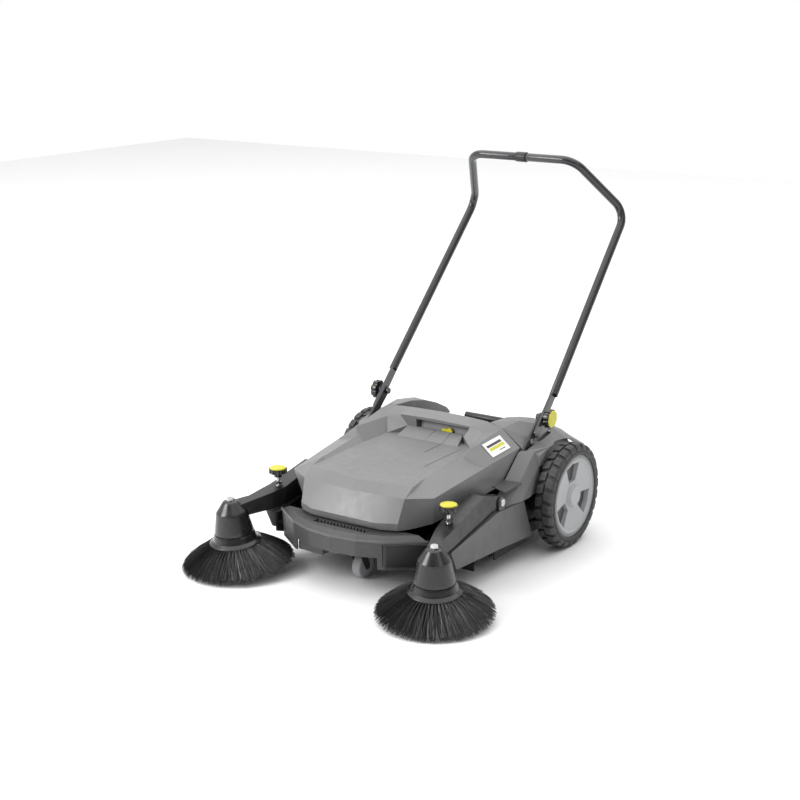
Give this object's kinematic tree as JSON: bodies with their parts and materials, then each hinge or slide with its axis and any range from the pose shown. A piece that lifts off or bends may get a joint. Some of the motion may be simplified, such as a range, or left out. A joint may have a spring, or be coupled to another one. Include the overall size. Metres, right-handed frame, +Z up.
{
  "type": "walk behind push sweeper",
  "caption": "Push sweeper with a faceted hood, two tilted side brushes on swing-up arms, large rear drive wheels, main roller, pull-out dirt container and a fold-down push handle.",
  "frame": {"origin": "on the floor under the middle of the machine at rest", "axes": "+Z up, -Y the driving direction, +X the machine side on the left when looking at its front"},
  "size_m": [0.9512, 1.2674, 1.0525],
  "materials": {
    "tread_rubber": "moulded tread",
    "rim_grey": "moulded grey",
    "bright_steel": "zinc plated",
    "black_plastic": "fine textured black",
    "frame_steel": "dark powder coat",
    "bristle_black": "bristles",
    "belt_rubber": "ribbed",
    "chassis_grey": "textured dark grey",
    "bumper_rubber": "soft strip",
    "hood_grey": "satin mid grey",
    "label_white": "printed label",
    "housing_grey": "satin mid grey",
    "tube_black": "gloss powder coat",
    "yellow_plastic": "moulded yellow",
    "caster_grey": "soft grey",
    "container_grey": "textured dark grey",
    "seal_rubber": "flap"
  },
  "bodies": {
    "chassis": {"arm_pins": "bright_steel", "axle_stub_left": "bright_steel", "axle_stub_right": "bright_steel", "bumper_strip": "bumper_rubber", "caster_plate": "bright_steel", "chassis_frame": "black_plastic", "floor_seals": "seal_rubber", "front_bumper": "chassis_grey", "handle_strap_left": "frame_steel", "handle_strap_right": "frame_steel", "hood": "hood_grey", "label_plate": "label_white", "pivot_cover_left": "chassis_grey", "pivot_cover_right": "chassis_grey", "rear_housing_left": "housing_grey", "rear_housing_right": "housing_grey", "side_pod_left": "chassis_grey", "side_pod_right": "chassis_grey", "skirt_block": "chassis_grey", "strap_bolts": "bright_steel"},
    "wheel_right": {"tyre_right": "tread_rubber", "rim_right": "rim_grey", "hub_cap_right": "rim_grey", "wheel_pulley": "black_plastic"},
    "arm_right": {"side_arm_right": "black_plastic", "brush_head_right": "black_plastic", "head_bolt_right": "bright_steel"},
    "brush_right": {"brush_bristles_right": "bristle_black", "brush_plate_right": "black_plastic"},
    "lift_knob_right": {"lift_knob_right": "black_plastic", "lift_cap_right": "yellow_plastic"},
    "clamp_knob_right": {"clamp_knob_right": "black_plastic", "clamp_cap_right": "yellow_plastic"},
    "wheel_left": {"tyre_left": "tread_rubber", "rim_left": "rim_grey", "hub_cap_left": "rim_grey"},
    "arm_left": {"side_arm_left": "black_plastic", "brush_head_left": "black_plastic", "head_bolt_left": "bright_steel"},
    "brush_left": {"brush_bristles_left": "bristle_black", "brush_plate_left": "black_plastic"},
    "lift_knob_left": {"lift_knob_left": "black_plastic", "lift_cap_left": "yellow_plastic"},
    "clamp_knob_left": {"clamp_knob_left": "black_plastic", "clamp_cap_left": "yellow_plastic"},
    "roller_carrier": {"roller_carrier": "frame_steel", "roller_bearings": "bright_steel", "drive_belt": "belt_rubber"},
    "main_roller": {"roller_core": "black_plastic", "roller_bristles": "bristle_black", "roller_pulley": "black_plastic"},
    "handle": {"handle_tube_right": "tube_black", "handle_tube_left": "tube_black", "handle_sleeve": "black_plastic"},
    "caster_fork": {"caster_fork": "bright_steel"},
    "caster_wheel": {"caster_wheel": "caster_grey"},
    "selector": {"selector_knob": "yellow_plastic"},
    "container": {"container": "container_grey", "container_grip": "black_plastic"}
  },
  "joints": [
    {"name": "wheel_right_spin", "type": "hinge", "parent": "chassis", "child": "wheel_right", "pos_m": [0.33, 0.1807, 0.1476], "axis": [1, 0, 0], "continuous": true},
    {"name": "arm_right_lift", "type": "hinge", "parent": "chassis", "child": "arm_right", "pos_m": [0.277, -0.1143, 0.201], "axis": [-1, 0, 0], "range_deg": [0, 5]},
    {"name": "brush_right_spin", "type": "hinge", "parent": "arm_right", "child": "brush_right", "pos_m": [0.317, -0.4745, 0.0173], "axis": [0.0454, -0.0958, 0.9944], "continuous": true},
    {"name": "lift_knob_right_turn", "type": "hinge", "parent": "arm_right", "child": "lift_knob_right", "pos_m": [0.275, -0.3473, 0.245], "axis": [0, 0, 1], "range_deg": [-180, 180]},
    {"name": "clamp_knob_right_turn", "type": "hinge", "parent": "chassis", "child": "clamp_knob_right", "pos_m": [0.29, 0.1501, 0.3683], "axis": [1, 0, 0], "range_deg": [-180, 180]},
    {"name": "wheel_left_spin", "type": "hinge", "parent": "chassis", "child": "wheel_left", "pos_m": [-0.33, 0.1807, 0.1476], "axis": [1, 0, 0], "continuous": true},
    {"name": "arm_left_lift", "type": "hinge", "parent": "chassis", "child": "arm_left", "pos_m": [-0.277, -0.1143, 0.201], "axis": [-1, 0, 0], "range_deg": [0, 5]},
    {"name": "brush_left_spin", "type": "hinge", "parent": "arm_left", "child": "brush_left", "pos_m": [-0.317, -0.4745, 0.0173], "axis": [-0.0454, -0.0958, 0.9944], "continuous": true},
    {"name": "lift_knob_left_turn", "type": "hinge", "parent": "arm_left", "child": "lift_knob_left", "pos_m": [-0.275, -0.3473, 0.245], "axis": [0, 0, 1], "range_deg": [-180, 180]},
    {"name": "clamp_knob_left_turn", "type": "hinge", "parent": "chassis", "child": "clamp_knob_left", "pos_m": [-0.29, 0.1501, 0.3683], "axis": [-1, 0, 0], "range_deg": [-180, 180]},
    {"name": "roller_height", "type": "hinge", "parent": "chassis", "child": "roller_carrier", "pos_m": [0, 0.1807, 0.1476], "axis": [-1, 0, 0], "range_deg": [0, 1.5]},
    {"name": "roller_spin", "type": "hinge", "parent": "roller_carrier", "child": "main_roller", "pos_m": [0, -0.0293, 0.125], "axis": [1, 0, 0], "continuous": true},
    {"name": "selector_turn", "type": "hinge", "parent": "chassis", "child": "selector", "pos_m": [0.044, 0.0197, 0.324], "axis": [0, 1, 0], "range_deg": [0, 40]},
    {"name": "handle_fold", "type": "hinge", "parent": "chassis", "child": "handle", "pos_m": [0, 0.1501, 0.3683], "axis": [1, 0, 0], "range_deg": [0, 110]},
    {"name": "caster_swivel", "type": "hinge", "parent": "chassis", "child": "caster_fork", "pos_m": [0, -0.3673, 0.1], "axis": [0, 0, 1], "continuous": true},
    {"name": "caster_spin", "type": "hinge", "parent": "caster_fork", "child": "caster_wheel", "pos_m": [0, -0.3393, 0.0335], "axis": [1, 0, 0], "continuous": true},
    {"name": "container_slide", "type": "slide", "parent": "chassis", "child": "container", "axis": [0, 1, 0], "range_m": [0, 0.32]}
  ],
  "couplings": [
    {"joint": "roller_spin", "follows": "wheel_right_spin", "ratio": 2},
    {"joint": "brush_right_spin", "follows": "wheel_right_spin", "ratio": 1.5},
    {"joint": "brush_left_spin", "follows": "wheel_left_spin", "ratio": -1.5},
    {"joint": "selector_turn", "follows": "roller_height", "ratio": 26.666}
  ]
}
